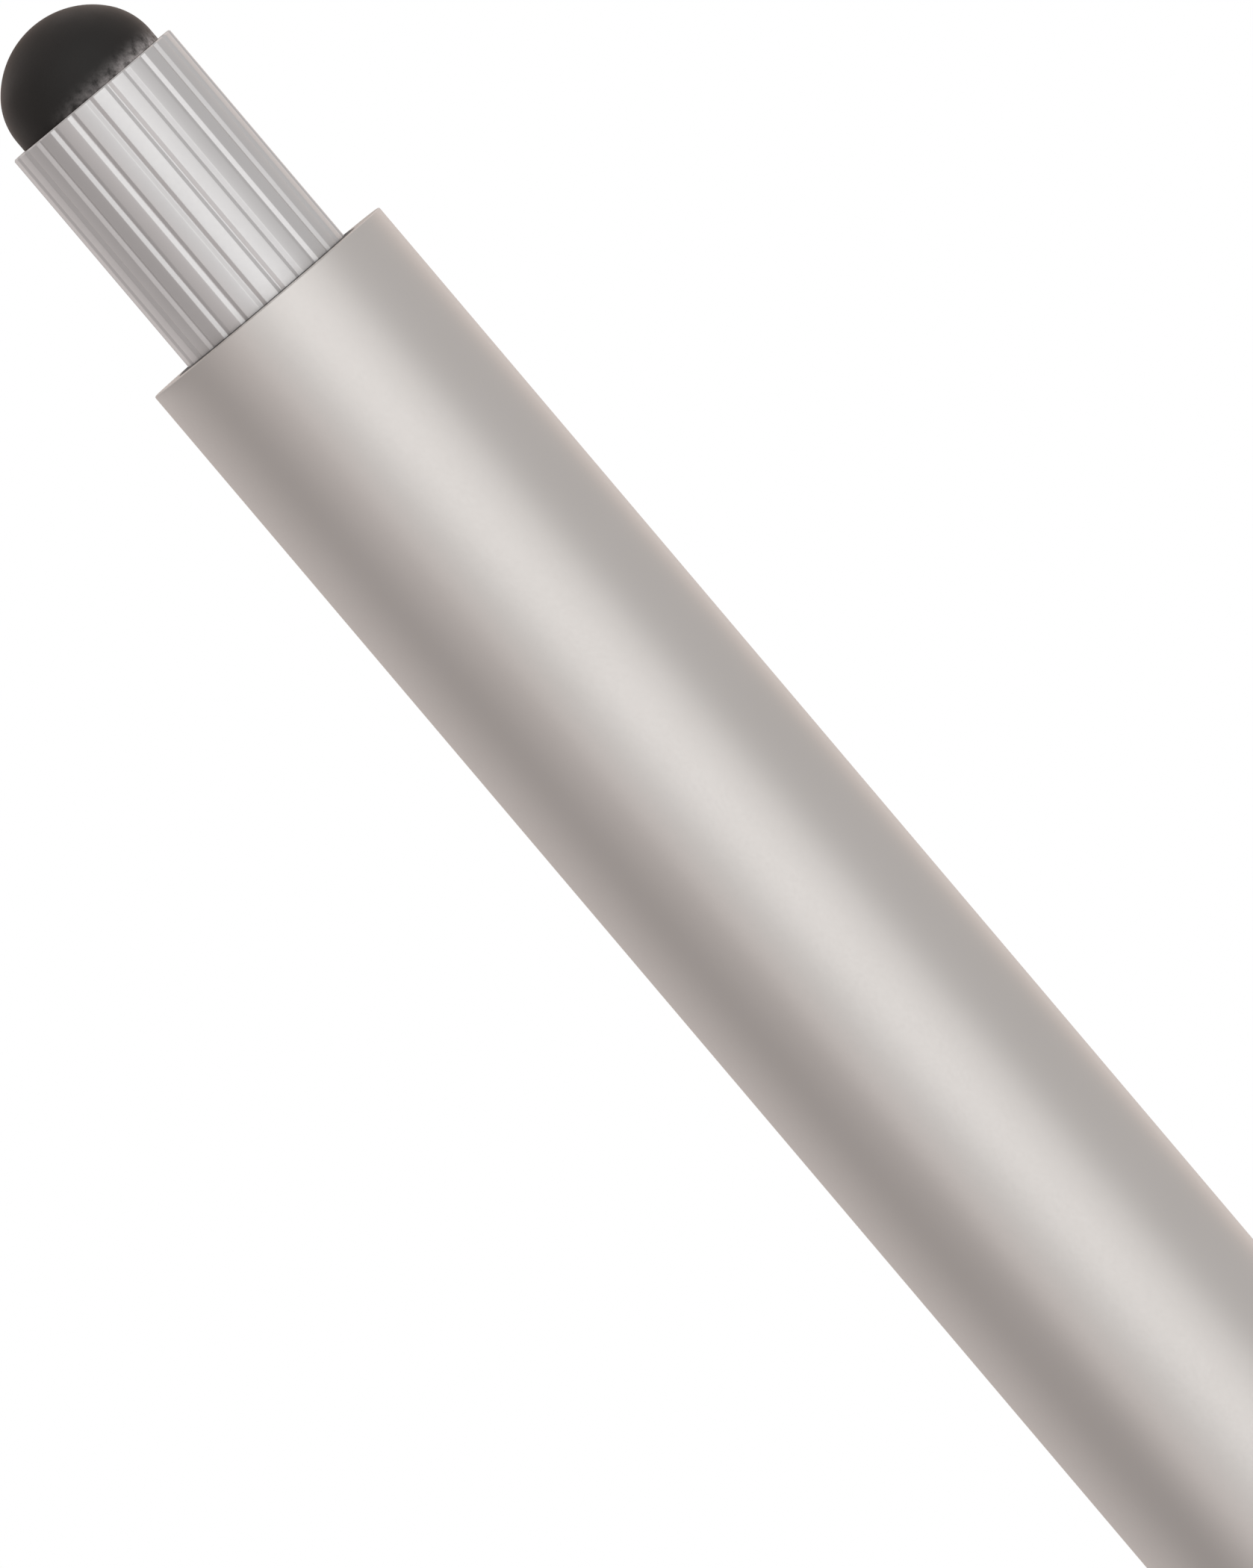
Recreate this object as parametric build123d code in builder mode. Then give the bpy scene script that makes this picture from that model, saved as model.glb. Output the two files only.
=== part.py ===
from build123d import *
import os
from math import acos, atan2, cos, degrees, hypot, pi, radians, sin, sqrt

# A click ballpoint with a stylus dome on its push button. It lies on a table, on its barrel and on one
# edge of its clip. X runs along the pen's axis towards the writing point, Z is up, and the origin is on
# the axis, where the front barrel begins. Sizes are in millimetres and angles in degrees.

# Clearances
fit_clear = 0.02          # pressed or glued pieces, on the radius
run_clear = 0.05          # screwed or guided pieces, on the radius
slide_clear = 0.12        # plastic pieces that slide in each other
stop_gap = 0.02           # between a stop and what rests on it

# Barrels
barrel_d = 10.5
barrel_wall = 0.75
end_wall = 1.2            # turned-in rear end, which the button passes through
rim_fillet = 0.12
edge_break = 0.12
front_barrel_len = 36.0

# Collar that lines the rear end's hole
collar_wall = 0.33
collar_proud = 0.05

# Trim ring and screwed joint
ring_w = 1.0
ring_recess = 0.2
thread_d = 7.5
thread_len = 8.0
bush_len = 10.0

# Nose
nose_len = 21.0
nose_spigot_len = 5.0
nose_lip_d = 3.9
nose_end_d = 3.2
nose_lip_len = 0.5
nose_land = 6.5           # length of the hole that guides the point

# Refill
refill_len = 106.8
point_recess = 0.8        # how far the ball lies inside the nose at rest
tube_d = 3.0
tube_wall = 0.5
point_show = 14.92        # point in front of the tube
ear_len = 1.0
ear_t = 0.7
plug_head = 0.8
plug_len = 4.0
vent_d = 0.6
air_len = 14.0            # empty tube behind the ink
point_d = 2.3
point_insert = 5.0
point_shoulder = 0.6
point_cone = 2.8
point_lip_d = 1.16
point_clear = 0.1
ink_channel_d = 0.6
ball_d = 1.0
ball_clear = 0.03
ball_lip = 0.22           # how far the socket's lip reaches past the ball's middle

# Return spring
wire_d = 0.45
spring_len = 18.0
spring_turns = 9
spring_clear = 0.3

# Click mechanism
stroke = 5.6
catch_clear = 0.3         # how far the rotor's ribs pass the cam sleeve at full press
flange_t = 1.0
flange_clear = 0.2
plunger_len = 13.3        # from the stop flange to the crown
cam_bore_d = 6.0
slot_depth = 0.85
rib_w = 0.9
rib_len = 4.6
rib_count = 4
tooth_count = 8
tooth_h = 0.8
crown_gap = 0.1
saw_h = 1.0
pilot_d = 3.4
pilot_len = 2.6
pilot_clear = 0.4
rotor_web = 1.6
socket_len = 4.5
rotor_nose = 0.8          # rotor in front of its ribs

# Push button
button_d = 7.28
button_show = 9.68
button_clear = 0.11
button_edge = 0.08
button_web = 1.6
stem_d = 5.36
flute_count = 26
flute_w = 0.34
flute_floor = 0.04
flute_depth = 0.09
flute_phase = 2.8         # turn of one flute from the direction opposite the clip

# Stylus
dome_d = 6.24
dome_skirt = 0.43
dome_rise = 2.8
dome_wall = 0.9
neck_d = 4.1
bead_d = 5.0
bead_w = 0.8
post_d = 2.0
post_tip = 0.4
post_gap = 0.5
foot_t = 0.8

# Clip
clip_w = 4.2
clip_t = 0.7
clip_edge = 0.15
clip_gap = 1.6
clip_len = 37.0
clip_inset = 3.4          # slot's distance from the cam sleeve's rear end
clip_bend_r = 1.2
clip_root = 0.25
clip_dip_len = 6.0
clip_dip_r = 6.0
clip_touch_gap = 0.03
clip_touch_r = 2.5
clip_tip_len = 3.0
clip_tip_rise = 0.9
tab_w = 2.4
tab_clear = 0.15
hook_len = 1.0
hook_t = 0.6

# Radii that follow
barrel_r = barrel_d / 2
bore_r = barrel_r - barrel_wall
inside_r = bore_r - fit_clear
thread_r = thread_d / 2
nut_r = thread_r + run_clear
tube_r = tube_d / 2
tube_bore_r = tube_r - tube_wall
fill_r = tube_bore_r - fit_clear
coil_r = tube_r + spring_clear + wire_d / 2
ear_r = coil_r + wire_d / 2
chamber_r = ear_r + spring_clear
point_r = point_d / 2
point_hole_r = point_r + point_clear
ball_r = ball_d / 2
cam_bore_r = cam_bore_d / 2
guide_r = cam_bore_r - slide_clear
slot_r = cam_bore_r + slot_depth
rib_r = slot_r - slide_clear
slot_w = rib_w + 2 * slide_clear
pilot_r = pilot_d / 2
pilot_hole_r = pilot_r + pilot_clear
flange_r = bore_r - flange_clear
button_r = button_d / 2
button_hole_r = button_r + button_clear
collar_r = button_hole_r + collar_wall
collar_hole_r = collar_r + fit_clear
stem_r = stem_d / 2
stem_bore_r = stem_r + fit_clear
dome_r = dome_d / 2
cavity_r = dome_r - dome_wall
dome_shoulder_r = dome_rise**2 / dome_r
dome_crown_r = dome_r * (dome_r + dome_rise) / (2 * dome_rise)
neck_r = neck_d / 2
neck_hole_r = neck_r + fit_clear
post_r = post_d / 2
post_hole_r = post_r + fit_clear

# Teeth that stand a quarter tooth apart meet when their roots are one and a half teeth apart
crown_depth = 1.5 * tooth_h

# Places along the axis, from the front to the rear
nose_x = front_barrel_len + nose_len
seat_x = nose_x - nose_land
ball_x = nose_x - point_recess - ball_r
lip_x = ball_x + ball_lip
ear_x = seat_x - spring_len
tube_end_x = lip_x - point_show
point_x = tube_end_x - point_insert
liner_end_x = front_barrel_len - nose_spigot_len
ring_x = -ring_w
refill_x = ball_x + ball_r - refill_len
tube_x = refill_x + plug_head
rotor_end_x = refill_x + socket_len
rotor_valley_x = refill_x - rotor_web
rotor_peak_x = rotor_valley_x - tooth_h
rib_end_x = rotor_end_x - rotor_nose
rib_x = rib_end_x - rib_len
crown_valley_x = rotor_valley_x - crown_depth - crown_gap
crown_peak_x = crown_valley_x + tooth_h
flange_end_x = crown_valley_x - plunger_len
flange_x = flange_end_x - flange_t
rim_x = flange_x - stop_gap - end_wall
cam_x = flange_end_x + stroke + catch_clear
cam_end_x = rib_x + stroke - catch_clear
clip_x = cam_x + clip_inset
tab_x = clip_x - clip_t / 2
tab_end_x = clip_x + clip_t / 2
button_x = rim_x - button_show
dome_x = button_x - dome_skirt
bead_x = button_x + button_web
foot_x = bead_x + bead_w
stem_x = foot_x + foot_t

# The clip's heights above the axis, and its turn from straight down, which lays its edge on the table
clip_mid = barrel_r + clip_gap + clip_t / 2
clip_top = barrel_r + clip_gap + clip_t
edge_high = clip_top - clip_edge
edge_wide = clip_w / 2 - clip_edge
edge_turn = acos((barrel_r - clip_edge) / hypot(edge_high, edge_wide))
clip_turn = degrees(edge_turn + atan2(edge_wide, edge_high))
touch_mid = barrel_r + clip_touch_gap + clip_t / 2
hook_top = sqrt(bore_r**2 - (tab_w / 2) ** 2) - tab_clear
hook_low = hook_top - hook_t
pocket_r = hook_low - tab_clear

# The slots lie on both sides of the clip, and the rotor stands a quarter tooth past the plunger's crown
slot_turns = [clip_turn + (k + 0.5) * 360 / rib_count for k in range(rib_count)]
tooth_turns = [clip_turn + k * 360 / tooth_count for k in range(tooth_count)]
rotor_turns = [turn + 360 / tooth_count / 4 for turn in tooth_turns]


def outward(turn):
    """The plane through the axis that faces out at this turn from straight down, with X along the pen."""
    angle = radians(turn)
    return Plane(origin=(0, 0, 0), x_dir=(1, 0, 0), z_dir=(0, sin(angle), -cos(angle)))


def spin(*outline, mode=Mode.ADD):
    """Turns a closed outline of (place along the axis, radius) points about the pen's axis."""
    with BuildSketch() as section:
        with BuildLine():
            Polyline(*outline, close=True)
        make_face()
    revolve(section.sketch, axis=Axis.X, mode=mode)


def tube(start, end, outer, inner):
    """A straight tube along the axis."""
    spin((start, inner), (start, outer), (end, outer), (end, inner))


def block(turn, low, high, *outline, mode=Mode.ADD):
    """A block over an outline of (place along the axis, place across) points, between two heights."""
    with BuildSketch(outward(turn).offset(low)) as section:
        with BuildLine():
            Polyline(*outline, close=True)
        make_face()
    extrude(section.sketch, amount=high - low, mode=mode)


def oblong(start, end, width):
    """The outline of a rectangle from one place along the axis to another, as wide as given."""
    return (start, -width / 2), (end, -width / 2), (end, width / 2), (start, width / 2)


def vee_cuts(turns, peak, valley, low, outer):
    """Cuts a ring of straight-sided teeth from a tube's end, with points at peak and roots at valley."""
    half = pi * outer / len(turns)
    beyond = 2 * peak - valley
    for turn in turns:
        outline = ((valley, 0), (beyond, 2 * half), (beyond, -2 * half))
        block(turn, low, 2 * outer, *outline, mode=Mode.SUBTRACT)


# Silicone dome, hollow, with a neck that snaps through the button's end. Two tangent arcs draw its oval
shoulder_centre = (dome_x, dome_r - dome_shoulder_r)
crown_centre = (dome_x - dome_rise + dome_crown_r, 0)
shoulder_arc = degrees(atan2(abs(dome_crown_r - dome_rise), abs(dome_r - dome_shoulder_r)))
with BuildPart() as stylus_tip:
    with BuildSketch():
        with BuildLine():
            for inset in (0, dome_wall):
                CenterArc(shoulder_centre, dome_shoulder_r - inset, 90, shoulder_arc)
                CenterArc(crown_centre, dome_crown_r - inset, 90 + shoulder_arc, 90 - shoulder_arc)
            Polyline(
                (dome_x, dome_r),
                (button_x, dome_r),
                (button_x, neck_r),
                (bead_x, neck_r),
                (bead_x, bead_d / 2),
                (foot_x, bead_d / 2),
                (foot_x, post_hole_r),
                (dome_x, post_hole_r),
                (dome_x, cavity_r),
            )
            Line((dome_x - dome_rise + dome_wall, 0), (dome_x - dome_rise, 0))
        make_face()
    revolve(axis=Axis.X)

# Brass post that props the dome and holds its neck in the button
post_x = dome_x - dome_rise + dome_wall + post_gap
with BuildPart() as stylus_post:
    spin(
        (post_x, 0),
        (post_x, post_r - post_tip),
        (post_x + post_tip, post_r),
        (foot_x, post_r),
        (foot_x, stem_r),
        (stem_x, stem_r),
        (stem_x, 0),
    )

# Fluted aluminium sleeve
flute_out = 2 * flute_w - flute_floor
with BuildPart() as push_button:
    spin(
        (button_x, neck_hole_r),
        (button_x, button_r - button_edge),
        (button_x + button_edge, button_r),
        (flange_x, button_r),
        (flange_x, stem_bore_r),
        (bead_x, stem_bore_r),
        (bead_x, neck_hole_r),
    )
    with BuildSketch(Plane.YZ.offset(button_x)):
        with PolarLocations(button_r, flute_count, start_angle=clip_turn + 90 + flute_phase):
            Polygon(
                (-flute_depth, -flute_floor / 2),
                (flute_depth, -flute_out / 2),
                (flute_depth, flute_out / 2),
                (-flute_depth, flute_floor / 2),
                align=None,
            )
    extrude(amount=flange_x - button_x, mode=Mode.SUBTRACT)

# Push rod with its stop flange, guide ribs and toothed crown
with BuildPart() as plunger:
    spin(
        (stem_x, 0),
        (stem_x, stem_r),
        (flange_x, stem_r),
        (flange_x, flange_r),
        (flange_end_x, flange_r),
        (flange_end_x, guide_r),
        (crown_peak_x, guide_r),
        (crown_peak_x, pilot_hole_r),
        (crown_peak_x - tooth_h - pilot_len, pilot_hole_r),
        (crown_peak_x - tooth_h - pilot_len, 0),
    )
    for turn in slot_turns:
        block(turn, pilot_r, rib_r, *oblong(flange_end_x, crown_valley_x, rib_w))
    vee_cuts(tooth_turns, crown_peak_x, crown_valley_x, 0, guide_r)

# Fixed sleeve with guide slots, a saw-toothed front end and a pocket for the clip's hook
saw_half = pi * inside_r / tooth_count
with BuildPart() as cam_sleeve:
    tube(cam_x, cam_end_x, inside_r, cam_bore_r)
    for turn in slot_turns:
        block(turn, 0, slot_r, *oblong(cam_x, cam_end_x, slot_w), mode=Mode.SUBTRACT)
    for turn in tooth_turns:
        ramp = (
            (cam_end_x, -saw_half),
            (cam_end_x + saw_h, -saw_half),
            (cam_end_x + saw_h, saw_half),
            (cam_end_x - saw_h, saw_half),
        )
        block(turn, 0, barrel_r, *ramp, mode=Mode.SUBTRACT)
    pocket = oblong(tab_x - hook_len - tab_clear, tab_end_x + tab_clear, tab_w + 2 * tab_clear)
    block(clip_turn, pocket_r, barrel_r, *pocket, mode=Mode.SUBTRACT)

# Ribbed cam between the plunger and the refill, with the refill's socket
with BuildPart() as rotor:
    spin(
        (rotor_peak_x - pilot_len, 0),
        (rotor_peak_x - pilot_len, pilot_r),
        (rotor_peak_x, pilot_r),
        (rotor_peak_x, guide_r),
        (rotor_end_x, guide_r),
        (rotor_end_x, tube_r + fit_clear),
        (refill_x, tube_r + fit_clear),
        (refill_x, 0),
    )
    vee_cuts(rotor_turns, rotor_peak_x, rotor_valley_x, pilot_r, guide_r)
    for turn in slot_turns:
        slanted = (
            (rib_x, -rib_w / 2),
            (rib_end_x, -rib_w / 2),
            (rib_end_x, rib_w / 2),
            (rib_x + rib_w, rib_w / 2),
        )
        block(turn, pilot_hole_r, rib_r, *slanted)

# Aluminium tube with a turned-in rear end and a slot for the clip
with BuildPart() as rear_barrel:
    spin(
        (rim_x, collar_hole_r),
        (rim_x, barrel_r),
        (ring_x, barrel_r),
        (ring_x, bore_r),
        (rim_x + end_wall, bore_r),
        (rim_x + end_wall, collar_hole_r),
    )
    outer_edges = rear_barrel.edges().filter_by(GeomType.CIRCLE).group_by(SortBy.RADIUS)[-1]
    fillet(outer_edges.sort_by(Axis.X)[0], rim_fillet)
    chamfer(outer_edges.sort_by(Axis.X)[-1], edge_break)
    slot = oblong(tab_x - tab_clear, tab_end_x + tab_clear, tab_w + 2 * tab_clear)
    block(clip_turn, 0, barrel_d, *slot, mode=Mode.SUBTRACT)

# Plastic collar in the rear end's hole, which guides the button and stands slightly proud
with BuildPart() as guide_collar:
    tube(rim_x - collar_proud, rim_x + end_wall, collar_r, button_hole_r)

# Spring steel strip: a hooked tab through the barrel, an arm, a dip that touches the barrel, a raised tip
clip_side = Plane(outward(clip_turn).origin, x_dir=(1, 0, 0), z_dir=-outward(clip_turn).y_dir)
touch_x = clip_x + clip_len - clip_tip_len
with BuildPart() as clip:
    with BuildLine(clip_side) as clip_line:
        FilletPolyline(
            (clip_x, barrel_r + clip_root),
            (clip_x, clip_mid),
            (touch_x - clip_dip_len, clip_mid),
            (touch_x, touch_mid),
            (clip_x + clip_len, touch_mid + clip_tip_rise),
            radius=[clip_bend_r, clip_dip_r, clip_touch_r],
        )
    strip_start = Plane(clip_line.line @ 0, x_dir=clip_side.z_dir, z_dir=clip_line.line % 0)
    with BuildSketch(strip_start):
        RectangleRounded(clip_w, clip_t, clip_edge)
    sweep()
    block(clip_turn, hook_low, barrel_r + clip_root, *oblong(tab_x, tab_end_x, tab_w))
    block(clip_turn, hook_low, hook_top, *oblong(tab_x - hook_len, tab_x, tab_w))

# Threaded bush in the rear barrel
with BuildPart() as coupling_bush:
    tube(ring_x - bush_len, ring_x, inside_r, nut_r)

# Loose ring between the barrels
with BuildPart() as trim_ring:
    tube(ring_x, 0, barrel_r - ring_recess, nut_r)

# Aluminium tube of the front section
with BuildPart() as front_barrel:
    tube(0, front_barrel_len, barrel_r, bore_r)
    barrel_ends = front_barrel.edges().filter_by(GeomType.CIRCLE).group_by(SortBy.RADIUS)[-1]
    chamfer(barrel_ends, edge_break)

# Plastic liner with the threaded spigot
with BuildPart() as front_liner:
    spin(
        (ring_x - thread_len, chamber_r),
        (ring_x - thread_len, thread_r),
        (0, thread_r),
        (0, inside_r),
        (liner_end_x, inside_r),
        (liner_end_x, chamber_r),
    )

# Turned nose with the spring's chamber and the point's hole
with BuildPart() as nose_cone:
    with BuildSketch():
        with BuildLine():
            flank_start = (front_barrel_len + edge_break, barrel_r)
            flank_end = (nose_x - nose_lip_len, nose_lip_d / 2)
            TangentArc(flank_start, flank_end, tangent=(1, 0))
            Polyline(
                flank_end,
                (nose_x, nose_end_d / 2),
                (nose_x, point_hole_r),
                (seat_x, point_hole_r),
                (seat_x, chamber_r),
                (liner_end_x, chamber_r),
                (liner_end_x, inside_r),
                (front_barrel_len, inside_r),
                (front_barrel_len, barrel_r - edge_break),
                flank_start,
            )
        make_face()
    revolve(axis=Axis.X)

# Wire spring between the refill's ears and the nose's seat
wire_r = wire_d / 2
helix_x = ear_x + wire_r + stop_gap
helix_len = spring_len - wire_d - 2 * stop_gap
spring_pitch = helix_len / spring_turns
with BuildPart() as return_spring:
    with BuildLine() as coil:
        Helix(spring_pitch, helix_len, coil_r, center=(helix_x, 0, 0), direction=(1, 0, 0))
    with BuildSketch(Plane(coil.line @ 0, z_dir=coil.line % 0)):
        Circle(wire_r)
    sweep(path=coil.line, is_frenet=True)
print("spring: gap between turns", round(spring_pitch - wire_d, 2), "mm")

# Plastic ink tube with two pinched ears
with BuildPart() as refill_tube:
    tube(tube_x, tube_end_x, tube_r, tube_bore_r)
    for turn in (0, 180):
        block(turn, (tube_r + tube_bore_r) / 2, ear_r, *oblong(ear_x - ear_len, ear_x, ear_t))

# Vented plug in the tube's rear end
with BuildPart() as refill_plug:
    spin(
        (refill_x, vent_d / 2),
        (refill_x, tube_r),
        (tube_x, tube_r),
        (tube_x, fill_r),
        (tube_x + plug_len, fill_r),
        (tube_x + plug_len, vent_d / 2),
    )

# Ink between the plug's air space and the point
ink_x = tube_x + plug_len + air_len
with BuildPart() as ink_column:
    spin((ink_x, 0), (ink_x, fill_r), (point_x, fill_r), (point_x, 0))

# Writing point with its ink channel and ball socket
with BuildPart() as point_body:
    spin(
        (point_x, 0),
        (point_x, fill_r),
        (tube_end_x, fill_r),
        (tube_end_x, tube_r),
        (tube_end_x + point_shoulder, tube_r),
        (tube_end_x + point_shoulder, point_r),
        (lip_x - point_cone, point_r),
        (lip_x, point_lip_d / 2),
        (lip_x, 0),
    )
    channel_r = ink_channel_d / 2
    spin((point_x, 0), (point_x, channel_r), (ball_x, channel_r), (ball_x, 0), mode=Mode.SUBTRACT)
    with Locations((ball_x, 0, 0)):
        Sphere(ball_r + ball_clear, mode=Mode.SUBTRACT)

# Ball of the point
with BuildPart() as writing_ball:
    with Locations((ball_x, 0, 0)):
        Sphere(ball_r)

pieces = {
    "stylus_tip": stylus_tip,
    "stylus_post": stylus_post,
    "push_button": push_button,
    "plunger": plunger,
    "cam_sleeve": cam_sleeve,
    "rotor": rotor,
    "rear_barrel": rear_barrel,
    "guide_collar": guide_collar,
    "clip": clip,
    "coupling_bush": coupling_bush,
    "trim_ring": trim_ring,
    "front_barrel": front_barrel,
    "front_liner": front_liner,
    "nose_cone": nose_cone,
    "return_spring": return_spring,
    "refill_tube": refill_tube,
    "refill_plug": refill_plug,
    "ink_column": ink_column,
    "point_body": point_body,
    "writing_ball": writing_ball,
}
os.makedirs("parts", exist_ok=True)
for name, piece in pieces.items():
    piece.part.label = name
    export_step(piece.part, f"parts/{name}.step")

print("rear barrel", round(ring_x - rim_x, 2), "pen length", round(nose_x - dome_x + dome_rise, 2))
print("clip turn", round(clip_turn, 3), "pivot", round(clip_x, 3), round(barrel_r - barrel_wall / 2, 3))
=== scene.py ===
import logging
from collections.abc import Callable, Sequence
from dataclasses import dataclass
from enum import Enum
from math import acos, atan2, cos, degrees, hypot, log10, pi, radians, sin, sqrt, tan

import bmesh
import bpy
from mathutils import Matrix, Vector


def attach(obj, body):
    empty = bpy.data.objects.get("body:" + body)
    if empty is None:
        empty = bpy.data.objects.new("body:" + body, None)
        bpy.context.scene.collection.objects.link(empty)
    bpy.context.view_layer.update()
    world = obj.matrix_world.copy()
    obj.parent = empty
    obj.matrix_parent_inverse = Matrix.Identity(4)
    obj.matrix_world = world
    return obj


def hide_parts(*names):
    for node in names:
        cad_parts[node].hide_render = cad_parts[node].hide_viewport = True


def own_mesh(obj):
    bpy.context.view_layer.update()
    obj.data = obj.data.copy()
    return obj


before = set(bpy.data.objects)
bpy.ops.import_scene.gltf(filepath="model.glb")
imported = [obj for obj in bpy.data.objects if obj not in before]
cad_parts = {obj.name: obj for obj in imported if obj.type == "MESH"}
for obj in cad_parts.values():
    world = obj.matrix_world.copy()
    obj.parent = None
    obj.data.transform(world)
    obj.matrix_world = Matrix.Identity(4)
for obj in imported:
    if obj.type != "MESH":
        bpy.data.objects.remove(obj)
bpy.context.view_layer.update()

# A click ballpoint with a stylus dome on its push button, lying on a pale floor. Sizes in the classes are in
# millimetres, places are along the pen's axis, and X points to the writing end.
log = logging.getLogger("stylus_pen")
MM = 0.001
MERGE_GAP = 1e-6
SHARP = 28.0

# Sizes that several pieces share
FOOT_X = -78.70
BARREL_R = 5.25
BORE_R = 4.5
RIM_X = -69.02
CLIP_X = -57.5
CLIP_TURN = 62.970
SEAT_X = 50.5

Point = tuple[float, float]
Corner = tuple[float, float, float]
Colour = tuple[float, float, float, float]
Key = str | int
Piece = bpy.types.Object
Material = bpy.types.Material
Tree = bpy.types.NodeTree
Socket = bpy.types.NodeSocket


class Body(Enum):
    """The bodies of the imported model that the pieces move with."""

    BARREL = "barrel"
    BUTTON = "button"
    REFILL = "refill"
    CLIP = "clip"
    RING = "ring"
    FRONT = "front"


class Slot(Enum):
    """The material slots of the pieces that are drawn anew."""

    BARREL = "barrel_satin"
    SILVER = "button_silver"
    STYLUS = "stylus_black"
    CLIP = "clip_steel"
    SPRING = "spring_steel"
    LINER = "liner_plastic"
    POINT = "point_nickel"


class Modifier(Enum):
    """The modifiers that finish a mesh."""

    BEVEL = "BEVEL"
    BOOLEAN = "BOOLEAN"
    SCREW = "SCREW"
    SOLIDIFY = "SOLIDIFY"


# Colour and node helpers


def linear(code: str) -> Colour:
    """Turns an sRGB hex colour to linear.

    Args:
        code: The colour as #RRGGBB.

    Returns:
        Red, green, blue and an alpha of one.
    """
    parts = (int(code[k : k + 2], 16) / 255 for k in (1, 3, 5))
    red, green, blue = (c / 12.92 if c <= 0.04045 else ((c + 0.055) / 1.055) ** 2.4 for c in parts)
    return red, green, blue, 1.0


def add_node(tree: Tree, kind: str, settings: dict[Key, object] | None = None) -> bpy.types.Node:
    """Adds a node with its settings and links.

    Args:
        tree: The node tree that it goes into.
        kind: The shader node's type.
        settings: Values for its own settings, and values or sockets for its inputs by name or number.

    Returns:
        The node.
    """
    node = tree.nodes.new(f"ShaderNode{kind}")
    for key, value in (settings or {}).items():
        if isinstance(value, Socket):
            tree.links.new(value, node.inputs[key])
        elif isinstance(key, int) or key in node.inputs:
            node.inputs[key].default_value = value
        else:
            setattr(node, key, value)
    return node


def maths(tree: Tree, operation: str, *values: float | Socket) -> Socket:
    """Adds one step of arithmetic.

    Args:
        tree: The node tree that it goes into.
        operation: The step's name.
        values: The numbers or sockets that it works on.

    Returns:
        The result.
    """
    return add_node(tree, "Math", {"operation": operation, **dict(enumerate(values))}).outputs[0]


def remap(
    tree: Tree, value: Socket, low: float, high: float, to_low: float = 0.0, to_high: float = 1.0
) -> Socket:
    """Maps a range on another one, and stops at its ends.

    Args:
        tree: The node tree that it goes into.
        value: The value that is mapped.
        low: Where the range begins.
        high: Where the range ends.
        to_low: What its beginning becomes.
        to_high: What its end becomes.

    Returns:
        The mapped value.
    """
    settings = {"Value": value, "From Min": low, "From Max": high, "To Min": to_low, "To Max": to_high}
    return add_node(tree, "MapRange", settings).outputs[0]


def blend(tree: Tree, share: Socket, first: Colour | Socket, second: Colour | Socket) -> Socket:
    """Mixes two colours.

    Args:
        tree: The node tree that it goes into.
        share: The share of the second colour.
        first: The first colour.
        second: The second colour.

    Returns:
        The mixed colour.
    """
    settings = {"data_type": "RGBA", 0: share, 6: first, 7: second}
    return add_node(tree, "Mix", settings).outputs[2]


def per_mm(size: float) -> float:
    """The scale that makes a pattern's features this many millimetres wide on coordinates in metres."""
    return 1 / (size * MM)


# Finishes


class Surface:
    """A material in the making, with its nodes, its shader and the piece's own coordinates."""

    def __init__(self, title: str, settings: dict[str, object]) -> None:
        """Starts the material.

        Args:
            title: The material's name.
            settings: Values for the shader's inputs.
        """
        self.material = bpy.data.materials.new(title)
        self.material.use_nodes = True
        self.tree = self.material.node_tree
        self.shader = self.tree.nodes["Principled BSDF"]
        self.place = add_node(self.tree, "TexCoord").outputs["Object"]
        for key, value in settings.items():
            self.shader.inputs[key].default_value = value

    def along(self) -> Socket:
        """The place along the pen's axis."""
        return add_node(self.tree, "SeparateXYZ", {"Vector": self.place}).outputs["X"]

    def noise(self, size: float, detail: float, coarse: float = 0.5, length: float | None = None) -> Socket:
        """Adds a noise.

        Args:
            size: The width of its features.
            detail: How many finer layers it has.
            coarse: How strong the finer layers are.
            length: The length of its features along the pen, where it is another one.

        Returns:
            The noise.
        """
        stretch = (per_mm(length or size), per_mm(size), per_mm(size))
        place = add_node(self.tree, "Mapping", {"Vector": self.place, "Scale": stretch}).outputs[0]
        settings = {"Vector": place, "Scale": 1.0, "Detail": detail, "Roughness": coarse}
        return add_node(self.tree, "TexNoise", settings).outputs["Fac"]

    def rings(self, width: float, detail: float) -> Socket:
        """Adds a noise that follows the place along the pen's axis alone.

        Args:
            width: The width of its rings.
            detail: How many finer layers it has.

        Returns:
            The noise.
        """
        settings = {"noise_dimensions": "1D", "W": self.along(), "Scale": per_mm(width), "Detail": detail}
        return add_node(self.tree, "TexNoise", settings).outputs["Fac"]

    def feed(self, name: str, source: Socket) -> None:
        """Links a socket to the shader.

        Args:
            name: The shader's input.
            source: The socket.
        """
        self.tree.links.new(source, self.shader.inputs[name])

    def roughen(self, middle: float, spread: float, pattern: Socket, window: Point = (0.3, 0.7)) -> None:
        """Lets the roughness follow a pattern.

        Args:
            middle: The roughness in the middle.
            spread: How far it goes up and down.
            pattern: The pattern.
            window: The range of the pattern that counts.
        """
        self.feed("Roughness", remap(self.tree, pattern, *window, middle - spread, middle + spread))

    def bump(self, strength: float, pattern: Socket, depth: float = 0.01) -> None:
        """Lets the light see a pattern as relief.

        Args:
            strength: How much of it shows.
            pattern: The pattern.
            depth: How deep it is.
        """
        settings = {"Strength": strength, "Distance": depth * MM, "Height": pattern}
        self.feed("Normal", add_node(self.tree, "Bump", settings).outputs[0])


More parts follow.
